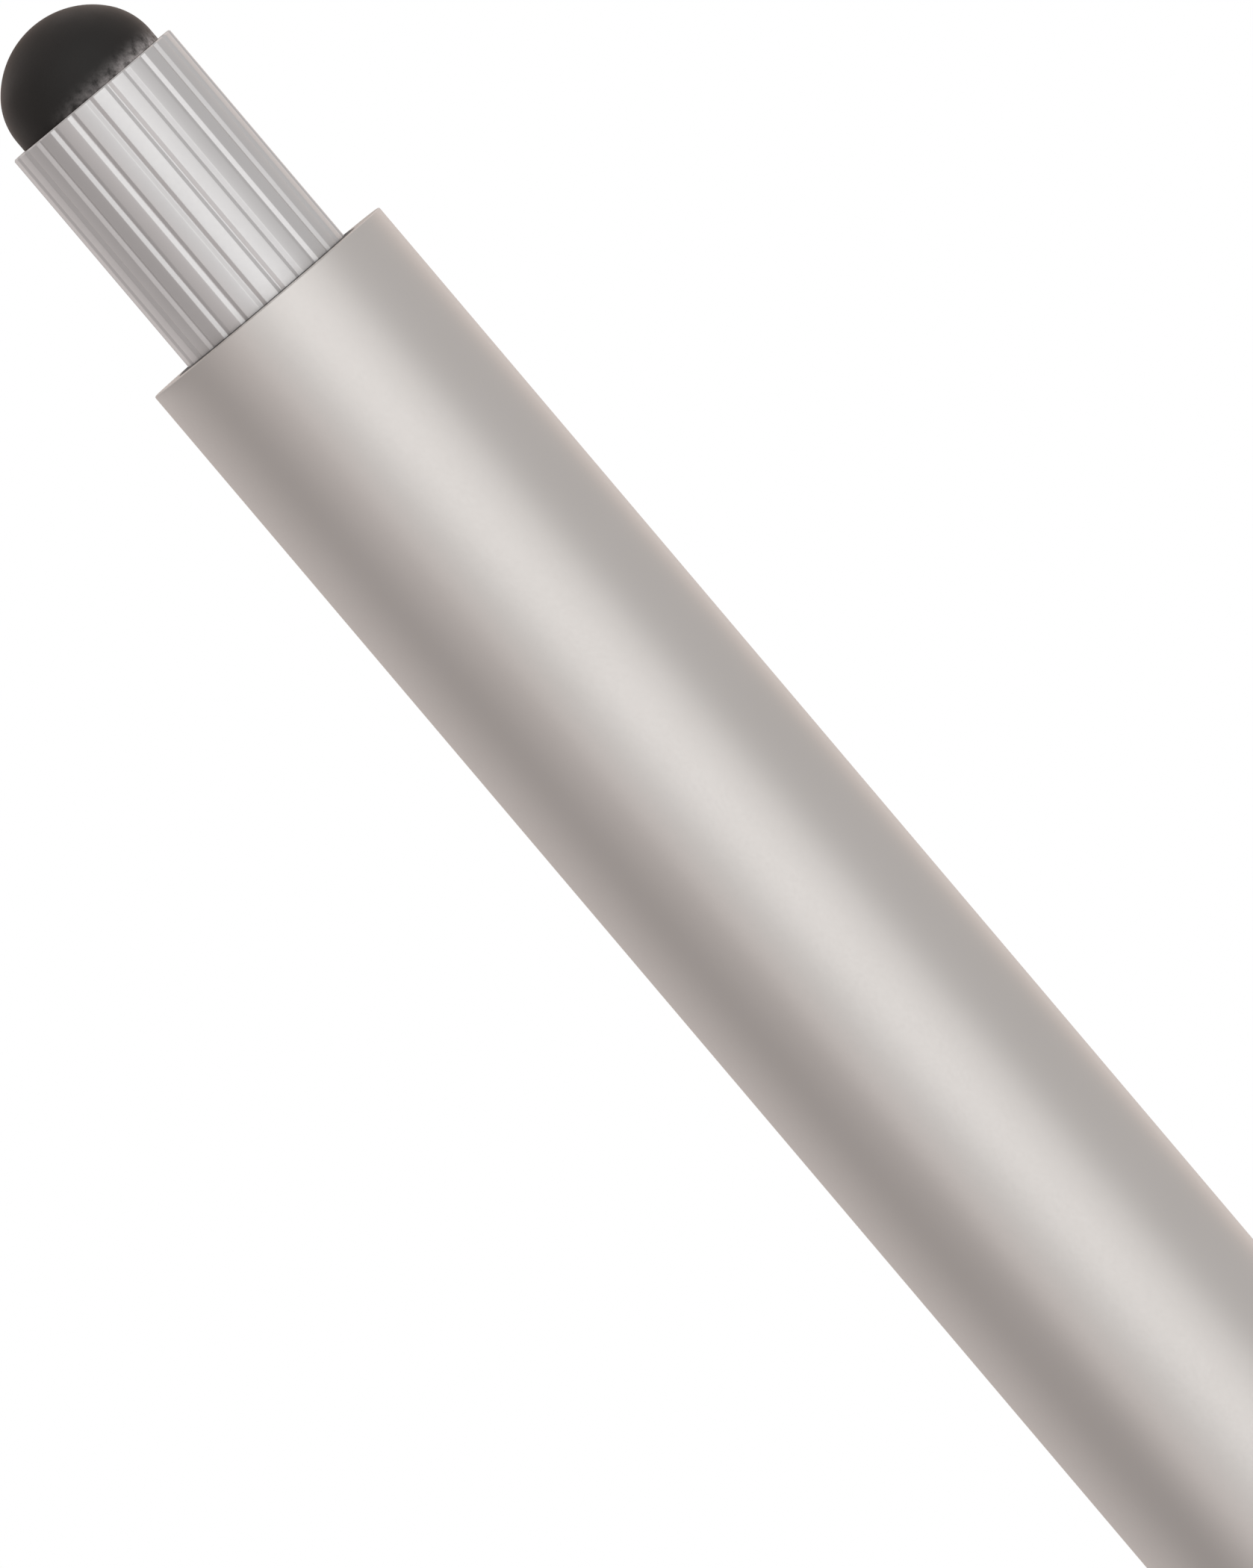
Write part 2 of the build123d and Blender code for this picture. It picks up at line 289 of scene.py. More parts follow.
@dataclass(frozen=True)
class Finish:
    """What a surface is made of."""

    title: str

    def material(self) -> Material:
        """Makes the material."""
        raise NotImplementedError


@dataclass(frozen=True)
class TonedFinish(Finish):
    """A finish that wavers between a pale and a deep tone, with a fine pattern in its gloss and relief."""

    pale: str
    deep: str
    roughness: float
    spread: float = 0.05
    relief: float = 0.08
    window: Point = (0.3, 0.7)

    def coat(self, surface: Surface, cloud: Socket, grain: Socket) -> Material:
        """Gives the surface its tones and its grain.

        Args:
            surface: The material in the making.
            cloud: The pattern that is low where the tone is deep.
            grain: The pattern in its gloss and relief.

        Returns:
            The finished material.
        """
        surface.feed("Base Color", blend(surface.tree, cloud, linear(self.deep), linear(self.pale)))
        surface.roughen(self.roughness, self.spread, grain, self.window)
        surface.bump(self.relief, grain)
        return surface.material


@dataclass(frozen=True)
class BlastedAluminium(TonedFinish):
    """Aluminium that was blasted and anodised: an even, very fine grain and a broad soft highlight."""

    grain: float = 0.12
    cloud: float = 7.0
    spread: float = 0.03
    relief: float = 0.05
    glow: float = 0.2
    glow_breadth: float = 0.25
    glow_tint: str = "#FFDCB8"

    def material(self) -> Material:
        """Makes the material. The grain is drawn coarser than the real 0.05 mm, so that it shows."""
        # The oxide's pores scatter light at grazing angles, which gives the tube its thin warm edges.
        glow = {
            "Sheen Weight": self.glow,
            "Sheen Roughness": self.glow_breadth,
            "Sheen Tint": linear(self.glow_tint),
        }
        surface = Surface(self.title, {"Metallic": 1.0, **glow})
        grain = surface.noise(self.grain, detail=2.0)
        return self.coat(surface, surface.noise(self.cloud, detail=3.0), grain)


@dataclass(frozen=True)
class TurnedMetal(TonedFinish):
    """Metal from the lathe: fine rings around the axis and a slightly streaked highlight."""

    ring: float = 0.14
    stain: float = 2.5
    window: Point = (0.25, 0.75)

    def material(self) -> Material:
        """Makes the material."""
        surface = Surface(self.title, {"Metallic": 1.0})
        rings = surface.rings(self.ring, detail=3.0)
        return self.coat(surface, surface.noise(self.stain, detail=4.0), rings)


@dataclass(frozen=True)
class DrawnMetal(TonedFinish):
    """Metal that was drawn or brushed along the pen: fine lines lengthwise that stretch the highlight."""

    line_w: float = 0.09
    line_len: float = 9.0
    spread: float = 0.06
    relief: float = 0.06
    window: Point = (0.25, 0.75)

    def material(self) -> Material:
        """Makes the material."""
        surface = Surface(self.title, {"Metallic": 1.0})
        lines = surface.noise(self.line_w, detail=3.0, length=self.line_len)
        return self.coat(surface, lines, lines)


@dataclass(frozen=True)
class MouldedPlastic(TonedFinish):
    """Moulded plastic: an even colour with a faint cloud and the fine grain of the mould."""

    ior: float = 1.48
    grain: float = 0.15
    cloud: float = 3.0
    relief: float = 0.1

    def material(self) -> Material:
        """Makes the material."""
        surface = Surface(self.title, {"IOR": self.ior})
        grain = surface.noise(self.grain, detail=2.0)
        return self.coat(surface, surface.noise(self.cloud, detail=3.0), grain)


@dataclass(frozen=True)
class ClearPlastic(Finish):
    """Clear extruded plastic: it lets the ink show and has faint lines from the die."""

    tone: str
    roughness: float
    clearness: float = 0.85
    ior: float = 1.49
    line_w: float = 0.2
    line_len: float = 12.0
    spread: float = 0.05

    def material(self) -> Material:
        """Makes the material."""
        clear = {"Base Color": linear(self.tone), "IOR": self.ior, "Transmission Weight": self.clearness}
        surface = Surface(self.title, clear)
        lines = surface.noise(self.line_w, detail=2.0, length=self.line_len)
        surface.roughen(self.roughness, self.spread, lines)
        return surface.material


@dataclass(frozen=True)
class Silicone(Finish):
    """Conductive silicone: matte black, a soft sheen at its edges, and a powdery grey near its foot that is
    partly dusty and partly a painted highlight on its upper, lit side.
    """

    rubber: str
    worn: str
    dust_and_highlight: str
    roughness: float
    foot_x: float
    ior: float = 1.43
    sheen: float = 0.2
    sheen_breadth: float = 0.4
    sheen_tint: str = "#E6C8B4"
    pebble: float = 0.06
    patch: float = 1.4
    spread: float = 0.06
    relief: float = 0.15
    relief_depth: float = 0.02
    powder: float = 0.3
    reach: float = 0.95
    fade: float = 3.0
    lit_side: Corner = (0.0, 0.454, 0.891)
    lit_from: float = -1.9
    lit_to: float = 2.95

    def dust_and_highlight_share(self, surface: Surface) -> Socket:
        """Spreads the powdery grey near the foot: dusty, and a painted highlight that is lighter on the
        upper, lit side. It thins out with the distance from the foot and towards the lower side.

        Args:
            surface: The material in the making.

        Returns:
            How much of the rubber is under the dusty grey and its painted highlight.
        """
        tree = surface.tree
        near = remap(tree, surface.along(), (self.foot_x - self.reach) * MM, self.foot_x * MM)
        foot = maths(tree, "POWER", near, self.fade)
        # Painted highlight: the grey is made lighter towards the upper side, where the light falls.
        across = {"operation": "DOT_PRODUCT", 0: surface.place, 1: self.lit_side}
        height = add_node(tree, "VectorMath", across).outputs["Value"]
        side = remap(tree, height, self.lit_from * MM, self.lit_to * MM)
        powder = surface.noise(self.powder, detail=6.0, coarse=0.65)
        specks = remap(tree, powder, 0.32, 0.68, to_low=0.05, to_high=1.75)
        return maths(tree, "MULTIPLY", maths(tree, "MULTIPLY", foot, side), specks)

    def material(self) -> Material:
        """Makes the material."""
        sheen = {
            "Sheen Weight": self.sheen,
            "Sheen Roughness": self.sheen_breadth,
            "Sheen Tint": linear(self.sheen_tint),
        }
        surface = Surface(self.title, {"IOR": self.ior, **sheen})
        patch = surface.noise(self.patch, detail=4.0)
        rubber = blend(surface.tree, patch, linear(self.rubber), linear(self.worn))
        # The light grey near the foot is partly dusty and partly a painted highlight.
        surface.feed("Base Color", blend(surface.tree, self.dust_and_highlight_share(surface), rubber, linear(self.dust_and_highlight)))
        surface.roughen(self.roughness, self.spread, patch)
        surface.bump(self.relief, surface.noise(self.pebble, detail=3.0), depth=self.relief_depth)
        return surface.material


# Modelling helpers


def pick(piece: Piece) -> None:
    """Selects one piece alone and makes it the active one.

    Args:
        piece: The piece.
    """
    bpy.ops.object.select_all(action="DESELECT")
    piece.select_set(True)
    bpy.context.view_layer.objects.active = piece


def pick_mesh() -> None:
    """Selects the whole mesh, in edit mode."""
    bpy.ops.mesh.select_all(action="SELECT")


def begin(name: str) -> Piece:
    """Starts a piece in edit mode, as one vertex at the origin.

    Args:
        name: The piece's name.

    Returns:
        The piece.
    """
    bpy.ops.mesh.primitive_plane_add(size=MM)
    piece = bpy.context.active_object
    piece.name = name
    piece.data.name = name
    bpy.ops.object.mode_set(mode="EDIT")
    bpy.ops.mesh.select_mode(type="VERT")
    pick_mesh()
    bpy.ops.mesh.merge(type="CENTER")
    return piece


def draw(points: Sequence[Vector]) -> None:
    """Draws a line of edges from the one vertex of a piece that was just begun, and selects it.

    Args:
        points: Where the line goes, in metres.
    """
    bpy.ops.transform.translate(value=points[0])
    for here, there in zip(points, points[1:]):
        bpy.ops.mesh.extrude_vertices_move(TRANSFORM_OT_translate={"value": there - here})
    pick_mesh()


def extrude(length: float) -> None:
    """Draws the selected edges out along the pen's axis, in edit mode.

    Args:
        length: How far.
    """
    bpy.ops.mesh.extrude_edges_move(TRANSFORM_OT_translate={"value": (length * MM, 0, 0)})


def widen(factor: float) -> None:
    """Scales the selection away from the pen's axis, in edit mode.

    Args:
        factor: How many times wider it gets.
    """
    bpy.ops.transform.resize(value=(1, factor, factor), center_override=(0, 0, 0))


def tidy_mesh() -> None:
    """Merges doubles and turns all faces outwards, in edit mode."""
    pick_mesh()
    bpy.ops.mesh.remove_doubles(threshold=MERGE_GAP)
    bpy.ops.mesh.normals_make_consistent(inside=False)


def close_edit(piece: Piece, smooth: float = SHARP) -> Piece:
    """Leaves edit mode and shades the piece smooth.

    Args:
        piece: The piece that is being edited.
        smooth: The angle in degrees past which an edge stays sharp.

    Returns:
        The piece.
    """
    bpy.ops.object.mode_set(mode="OBJECT")
    pick(piece)
    bpy.ops.object.shade_smooth_by_angle(angle=radians(smooth))
    return piece


def select_where(piece: Piece, test: Callable[[Vector], bool]) -> None:
    """Selects the vertices that pass a test of their place, and nothing else, in edit mode.

    Args:
        piece: The piece that is being edited.
        test: Tells of a place in metres whether it is selected.
    """
    bpy.ops.mesh.select_all(action="DESELECT")
    bpy.ops.mesh.select_mode(type="VERT")
    mesh = bmesh.from_edit_mesh(piece.data)
    for vertex in mesh.verts:
        vertex.select = test(vertex.co)
    mesh.select_flush_mode()
    bmesh.update_edit_mesh(piece.data)


def shape(piece: Piece, kind: Modifier, **settings: object) -> None:
    """Adds a modifier to a piece and applies it.

    Args:
        piece: The piece, in object mode.
        kind: The modifier.
        settings: The modifier's settings.
    """
    pick(piece)
    bpy.ops.object.modifier_add(type=kind.value)
    modifier = piece.modifiers[-1]
    for key, value in settings.items():
        setattr(modifier, key, value)
    bpy.ops.object.modifier_apply(modifier=modifier.name)


def combine(piece: Piece, other: Piece, operation: str) -> None:
    """Joins another solid to a piece or cuts it away, and removes the other one.

    Args:
        piece: The piece that stays.
        other: The solid that goes.
        operation: UNION or DIFFERENCE.
    """
    shape(piece, Modifier.BOOLEAN, operation=operation, solver="EXACT", object=other)
    pick(other)
    bpy.ops.object.delete()
    pick(piece)
    bpy.ops.object.shade_smooth_by_angle(angle=radians(SHARP))


def wind(piece: Piece, pitch: float, turns: int, steps: int, sides: int, smooth: float = SHARP) -> Piece:
    """Winds a closed section about the pen's axis and closes its ends.

    Args:
        piece: The section, in object mode.
        pitch: How far it goes along the axis in one turn.
        turns: How many turns it makes.
        steps: How many edges a turn has.
        sides: How many edges the section has.
        smooth: The angle in degrees past which an edge stays sharp.

    Returns:
        The piece.
    """
    helix = {"screw_offset": pitch * MM, "iterations": turns, "steps": steps, "render_steps": steps}
    shape(piece, Modifier.SCREW, axis="X", angle=2 * pi, **helix)
    bpy.ops.object.mode_set(mode="EDIT")
    pick_mesh()
    bpy.ops.mesh.fill_holes(sides=sides)
    tidy_mesh()
    return close_edit(piece, smooth)


def arc(centre: Point, radius: float, start: float, sweep: float, steps: int) -> list[Point]:
    """Points on an arc.

    Args:
        centre: Its centre.
        radius: Its radius.
        start: The angle in degrees where it begins.
        sweep: The angle in degrees that it covers.
        steps: How many edges it gets.

    Returns:
        The points, ends among them.
    """
    angles = [radians(start + sweep * k / steps) for k in range(steps + 1)]
    return [(centre[0] + radius * cos(a), centre[1] + radius * sin(a)) for a in angles]


def rounded(outline: Sequence[Corner], closed: bool = True, steps: int = 5) -> list[Point]:
    """Rounds the corners of an outline.

    Args:
        outline: Corners as two places and a radius.
        closed: Whether the last corner goes on to the first one.
        steps: How many edges each round gets.

    Returns:
        The points of the rounded outline.
    """
    points: list[Point] = []
    for k, (u, v, radius) in enumerate(outline):
        inner = closed or 0 < k < len(outline) - 1
        if radius == 0 or not inner:
            points.append((u, v))
            continue
        here = Vector((u, v))
        before = Vector(outline[k - 1][:2]) - here
        after = Vector(outline[(k + 1) % len(outline)][:2]) - here
        half = before.angle(after) / 2
        middle = before.normalized() + after.normalized()
        centre = here + middle.normalized() * (radius / sin(half))
        start = here + before.normalized() * (radius / tan(half)) - centre
        end = here + after.normalized() * (radius / tan(half)) - centre
        first = degrees(atan2(start.y, start.x))
        sweep = degrees(atan2(end.y, end.x)) - first
        sweep = (sweep + 180) % 360 - 180
        points += arc((centre.x, centre.y), radius, first, sweep, steps)
    return points


def lathe(name: str, outline: Sequence[Point], steps: int = 160) -> Piece:
    """Turns a closed outline about the pen's axis.

    Args:
        name: The piece's name.
        outline: Points as a place along the axis and a radius.
        steps: How many faces the piece has around.

    Returns:
        The piece.
    """
    piece = begin(name)
    on_axis = max(outline[0][1], outline[-1][1]) * MM < MERGE_GAP
    line = list(outline) if on_axis else [*outline, outline[0]]
    draw([Vector((x, 0, r)) * MM for x, r in line])
    bpy.ops.mesh.spin(steps=steps, angle=2 * pi, center=(0, 0, 0), axis=(1, 0, 0))
    tidy_mesh()
    return close_edit(piece)


def band(start_x: float, end_x: float, bore_r: float, radius: float, edge: float) -> list[Point]:
    """Draws the section of a plain tube with rounded edges.

    Args:
        start_x: Where the tube begins.
        end_x: Where it ends.
        bore_r: The radius of its bore.
        radius: Its radius.
        edge: The radius of its edges.

    Returns:
        The closed outline as places along the axis and radii.
    """
    corners = [(start_x, bore_r), (start_x, radius), (end_x, radius), (end_x, bore_r)]
    return rounded([(x, r, edge) for x, r in corners])


def dress(piece: Piece, finish: Finish) -> None:
    """Gives a piece its finish. Pieces with the same finish share one material.

    Args:
        piece: The piece.
        finish: The finish.
    """
    piece.data.materials.clear()
    piece.data.materials.append(bpy.data.materials.get(finish.title) or finish.material())


def put(piece: Piece, body: Body, slot: Slot, finish: Finish, *nodes: str) -> None:
    """Dresses a finished piece and puts it on its body.

    Args:
        piece: The piece.
        body: The body that it moves with.
        slot: The material slot that its finish belongs to; not used.
        finish: The finish.
        nodes: The CAD nodes that it stands for.
    """
    dress(piece, finish)
    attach(piece, body.value)
    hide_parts(*nodes)
    log.info("%s: %d faces, rides on %s", piece.name, len(piece.data.polygons), body.value)


# The finishes of this pen
BARREL_SATIN = BlastedAluminium("blasted_anodised_aluminium", pale="#E9E6E3", deep="#E4E1DD", roughness=0.40)
BUTTON_SATIN = BlastedAluminium(
    "fluted_aluminium", pale="#ECECEC", deep="#E6E6E6", roughness=0.38, cloud=3.0
)
NOSE_TURNED = TurnedMetal("turned_aluminium", pale="#E2DFDC", deep="#D6D3D0", roughness=0.28)
CLIP_BRUSHED = DrawnMetal("brushed_nickel_on_steel", pale="#DAD8D5", deep="#C9C6C3", roughness=0.30)
SPRING_DRAWN = DrawnMetal("drawn_spring_wire", pale="#BFC0C2", deep="#A3A4A7", roughness=0.24)
BRASS_TURNED = TurnedMetal("turned_brass", pale="#D9BC7A", deep="#C4A45E", roughness=0.30)
POINT_TURNED = TurnedMetal("turned_nickel_silver", pale="#D8D3C8", deep="#C2BCB0", roughness=0.26, ring=0.08)
BALL_POLISHED = TurnedMetal("lapped_carbide", pale="#ACADAF", deep="#9A9B9E", roughness=0.14, ring=0.05)
ACETAL = MouldedPlastic("moulded_acetal", pale="#EEECE4", deep="#E2DFD5", roughness=0.42)
LINER_BLACK = MouldedPlastic("moulded_black_plastic", pale="#2A2A2A", deep="#1E1E1E", roughness=0.45)
TUBE_CLEAR = ClearPlastic("extruded_clear_tube", tone="#F0F2F0", roughness=0.16)
INK_BLUE = MouldedPlastic("blue_ink", pale="#132a78", deep="#0c1c58", roughness=0.12, ior=1.40)
DOME_BLACK = Silicone(
    "matte_conductive_silicone",
    rubber="#191817",
    worn="#23211F",
    # A light grey near the foot: dusty, and a painted highlight on its lit side.
    dust_and_highlight="#C4BFBE",
    roughness=0.58,
    foot_x=FOOT_X,
)


@dataclass
class Stylus:
    """The silicone dome on the push button, hollow, with a neck and a bead that hold it."""

    skirt: float = 0.43
    rise: float = 2.8
    radius: float = 3.12
    wall: float = 0.9
    neck_r: float = 2.05
    bead_r: float = 2.5
    bead_x: float = -77.10
    bead_w: float = 0.8
    bead_round: float = 0.15
    hole_r: float = 1.02
    foot_round: float = 0.05
    steps: int = 18

    def outline(self) -> list[Point]:
        """Draws the dome as two tangent arcs outside and inside, with its skirt, neck and bead.

        Returns:
            The closed outline as places along the axis and radii.
        """
        base_x = FOOT_X - self.skirt
        shoulder_r = self.rise**2 / self.radius
        crown_r = self.radius * (self.radius + self.rise) / (2 * self.rise)
        shoulder = (base_x, self.radius - shoulder_r)
        crown = (base_x - self.rise + crown_r, 0.0)
        bend = degrees(atan2(crown_r - self.rise, self.radius - shoulder_r))
        outer, inner = (
            arc(shoulder, shoulder_r - wall, 90, bend, self.steps)
            + arc(crown, crown_r - wall, 90 + bend, 90 - bend, self.steps)[1:]
            for wall in (0.0, self.wall)
        )
        foot = rounded(
            [
                (base_x, self.hole_r, 0.0),
                (self.bead_x + self.bead_w, self.hole_r, 0.0),
                (self.bead_x + self.bead_w, self.bead_r, self.bead_round),
                (self.bead_x, self.bead_r, self.bead_round),
                (self.bead_x, self.neck_r, 0.0),
                (FOOT_X, self.neck_r, 0.0),
                (FOOT_X, self.radius, self.foot_round),
                (base_x, self.radius, 0.0),
            ],
            closed=False,
        )
        return [*reversed(inner), *foot[:-1], *outer]

    def build(self) -> None:
        """Builds the dome."""
        dome = lathe("stylus_dome", self.outline(), steps=128)
        put(dome, Body.BUTTON, Slot.STYLUS, DOME_BLACK, "stylus_tip")


@dataclass
class PushButton:
    """The fluted aluminium sleeve that the thumb presses."""

    inner_x: float = -67.80
    radius: float = 3.64
    edge: float = 0.05
    flutes: int = 26
    flute_w: float = 0.34
    flute_floor: float = 0.04
    flute_depth: float = 0.09
    first_flute: float = 155.770
    lip_round: float = 0.06
    land_steps: int = 6
    neck_r: float = 2.07
    web_x: float = -77.10
    bore_r: float = 2.70

    def flute(self) -> list[Vector]:
        """Draws one flute with half a land on both sides.

        Returns:
            The points of its section at the sleeve's end, in metres.
        """
        pitch = 2 * pi * self.radius / self.flutes
        floor_r = self.radius - self.flute_depth
        corners = [
            (-pitch / 2, self.radius, 0.0),
            (-self.flute_w / 2, self.radius, self.lip_round),
            (-self.flute_floor / 2, floor_r, self.lip_round / 2),
            (self.flute_floor / 2, floor_r, self.lip_round / 2),
            (self.flute_w / 2, self.radius, self.lip_round),
            (pitch / 2, self.radius, 0.0),
        ]
        section = rounded(corners, closed=False, steps=3)
        start, lip = section[0][0], section[1][0]
        land = [start + (lip - start) * k / self.land_steps for k in range(self.land_steps)]
        outline = [(s, self.radius) for s in land] + section[1:-1]
        outline += [(-s, self.radius) for s in reversed(land)]
        turns = [(radians(self.first_flute) + s / self.radius, r) for s, r in outline]
        return [Vector((FOOT_X, r * cos(a), r * sin(a))) * MM for a, r in turns]

    def build(self) -> None:
        """Builds the sleeve: one flute drawn along the axis, copied round, then closed inside."""
        sleeve = begin("button_sleeve")
        draw(self.flute())
        shrink = (self.radius - self.edge) / self.radius
        widen(shrink)
        extrude(self.edge)
        widen(1 / shrink)
        extrude(self.inner_x - FOOT_X - self.edge)
        pick_mesh()
        copies = self.flutes - 1
        bpy.ops.mesh.spin(
            steps=copies, dupli=True, angle=2 * pi * copies / self.flutes, center=(0, 0, 0), axis=(1, 0, 0)
        )
        tidy_mesh()
        # From the fluted end, in over the end face, through the web's hole and along the bore
        select_where(sleeve, lambda place: abs(place.x - FOOT_X * MM) < MERGE_GAP)
        extrude(0.0)
        bpy.ops.transform.tosphere(value=1)
        mesh = bmesh.from_edit_mesh(sleeve.data)
        loop_r = max(hypot(v.co.y, v.co.z) for v in mesh.verts if v.select) / MM
        widen(self.neck_r / loop_r)
        extrude(self.web_x - FOOT_X)
        extrude(0.0)
        widen(self.bore_r / self.neck_r)
        extrude(self.inner_x - self.web_x)
        select_where(sleeve, lambda place: abs(place.x - self.inner_x * MM) < MERGE_GAP)
        bpy.ops.mesh.bridge_edge_loops()
        tidy_mesh()
        close_edit(sleeve, smooth=20.0)
        put(sleeve, Body.BUTTON, Slot.SILVER, BUTTON_SATIN, "push_button")


@dataclass
class RearBarrel:
    """The plain satin tube with its turned-in rear end and the clip's slot."""

    front_x: float = -1.0
    end_wall: float = 1.2
    hole_r: float = 4.10
    rim_round: float = 0.07
    hole_round: float = 0.05
    edge: float = 0.12
    slot_len: float = 1.0
    slot_w: float = 2.7
    slot_round: float = 0.2

    def slot_cutter(self) -> Piece:
        """Makes the rounded block that cuts the clip's slot.

        Returns:
            The block, through the wall on the clip's side.
        """
        bpy.ops.mesh.primitive_cube_add(size=1)
        cutter = bpy.context.active_object
        cutter.scale = (self.slot_len * MM, self.slot_w * MM, BARREL_R * MM)
        cutter.location = (CLIP_X * MM, 0, -BARREL_R * MM)
        bpy.ops.object.transform_apply()
        bpy.ops.object.mode_set(mode="EDIT")
        bpy.ops.mesh.select_all(action="DESELECT")
        bpy.ops.mesh.select_mode(type="EDGE")
        mesh = bmesh.from_edit_mesh(cutter.data)
        for edge in mesh.edges:
            edge.select = abs(edge.verts[0].co.z - edge.verts[1].co.z) > MERGE_GAP
        bmesh.update_edit_mesh(cutter.data)
        bpy.ops.mesh.bevel(offset=self.slot_round * MM, segments=4)
        bpy.ops.object.mode_set(mode="OBJECT")
        cutter.rotation_euler = (radians(CLIP_TURN), 0, 0)
        bpy.ops.object.transform_apply()
        return cutter

    def build(self) -> None:
        """Builds the tube and cuts the slot."""
        inner_x = RIM_X + self.end_wall
        near, far = CLIP_X - 2 * self.slot_len, CLIP_X + 2 * self.slot_len
        outline = rounded(
            [
                (RIM_X, self.hole_r, self.hole_round),
                (RIM_X, BARREL_R, self.rim_round),
                (near, BARREL_R, 0.0),
                (far, BARREL_R, 0.0),
                (self.front_x, BARREL_R, self.edge),
                (self.front_x, BORE_R, self.edge),
                (far, BORE_R, 0.0),
                (near, BORE_R, 0.0),
                (inner_x, BORE_R, 0.0),
                (inner_x, self.hole_r, self.hole_round),
            ],
            steps=8,
        )
        tube = lathe("rear_tube", outline, steps=192)
        combine(tube, self.slot_cutter(), "DIFFERENCE")
        put(tube, Body.BARREL, Slot.BARREL, BARREL_SATIN, "rear_barrel")


@dataclass
class GuideCollar:
    """The black collar in the barrel's rear end, which the button slides in. It stands slightly proud."""

    end_x: float = -69.055
    inner_x: float = -67.82
    radius: float = 4.08
    lip_r: float = 3.92
    hole_r: float = 3.75
    edge: float = 0.02

    def build(self) -> None:
        """Builds the collar."""
        outline = rounded(
            [
                (self.end_x, self.hole_r, self.edge),
                (self.end_x, self.lip_r, 0.0),
                (RIM_X, self.radius, 0.0),
                (self.inner_x, self.radius, self.edge),
                (self.inner_x, self.hole_r, self.edge),
            ],
            steps=3,
        )
        collar = lathe("collar_ring", outline)
        put(collar, Body.BARREL, Slot.LINER, LINER_BLACK, "guide_collar")


@dataclass
class PocketClip:
    """The bent steel strip with its hooked tab."""

    length: float = 37.0
    width: float = 4.2
    thickness: float = 0.7
    edge: float = 0.15
    edge_turn: float = 50.0
    gap: float = 1.6
    bend_r: float = 1.2
    root: float = 0.25
    dip_len: float = 6.0
    dip_r: float = 6.0
    touch_gap: float = 0.03
    touch_r: float = 2.5
    tip_len: float = 3.0
    tip_rise: float = 0.9
    tab_w: float = 2.4
    hook_top: float = 4.187
    hook_t: float = 0.6
    hook_len: float = 1.0

    def strip(self, name: str, line: Sequence[Point], width: float, thickness: float) -> Piece:
        """Makes a strip of sheet that follows a line on the clip's side of the pen.

        Args:
            name: The strip's name.
            line: Places along the axis and heights above it.
            width: The strip's width.
            thickness: The sheet's thickness.

        Returns:
            The strip, with rounded edges.
        """
        angle = radians(CLIP_TURN)
        out = Vector((0, sin(angle), -cos(angle)))
        across = Vector((0, cos(angle), sin(angle)))
        piece = begin(name)
        draw([(Vector((x, 0, 0)) + out * h - across * width / 2) * MM for x, h in line])
        bpy.ops.mesh.extrude_edges_move(TRANSFORM_OT_translate={"value": across * width * MM})
        tidy_mesh()
        bpy.ops.object.mode_set(mode="OBJECT")
        shape(piece, Modifier.SOLIDIFY, thickness=thickness * MM, offset=0, use_even_offset=True)
        bend = {"limit_method": "ANGLE", "angle_limit": radians(self.edge_turn)}
        shape(piece, Modifier.BEVEL, width=self.edge * MM, segments=3, **bend)
        bpy.ops.object.mode_set(mode="EDIT")
        tidy_mesh()
        return close_edit(piece)

    def build(self) -> None:
        """Builds the arm and its tab, and joins them."""
        middle = BARREL_R + self.gap + self.thickness / 2
        touch = BARREL_R + self.touch_gap + self.thickness / 2
        touch_x = CLIP_X + self.length - self.tip_len
        arm = rounded(
            [
                (CLIP_X, BARREL_R + self.root, 0.0),
                (CLIP_X, middle, self.bend_r),
                (touch_x - self.dip_len, middle, self.dip_r),
                (touch_x, touch, self.touch_r),
                (CLIP_X + self.length, touch + self.tip_rise, 0.0),
            ],
            closed=False,
            steps=12,
        )
        hook_mid = self.hook_top - self.hook_t / 2
        tab_face = CLIP_X - self.thickness / 2
        tab = rounded(
            [
                (CLIP_X, BARREL_R + 2 * self.root, 0.0),
                (CLIP_X, hook_mid, self.hook_t),
                (tab_face - self.hook_len, hook_mid, 0.0),
            ],
            closed=False,
            steps=6,
        )
        clip = self.strip("clip_strip", arm, self.width, self.thickness)
        combine(clip, self.strip("clip_tab", tab, self.tab_w, self.hook_t), "UNION")
        put(clip, Body.CLIP, Slot.CLIP, CLIP_BRUSHED, "clip")


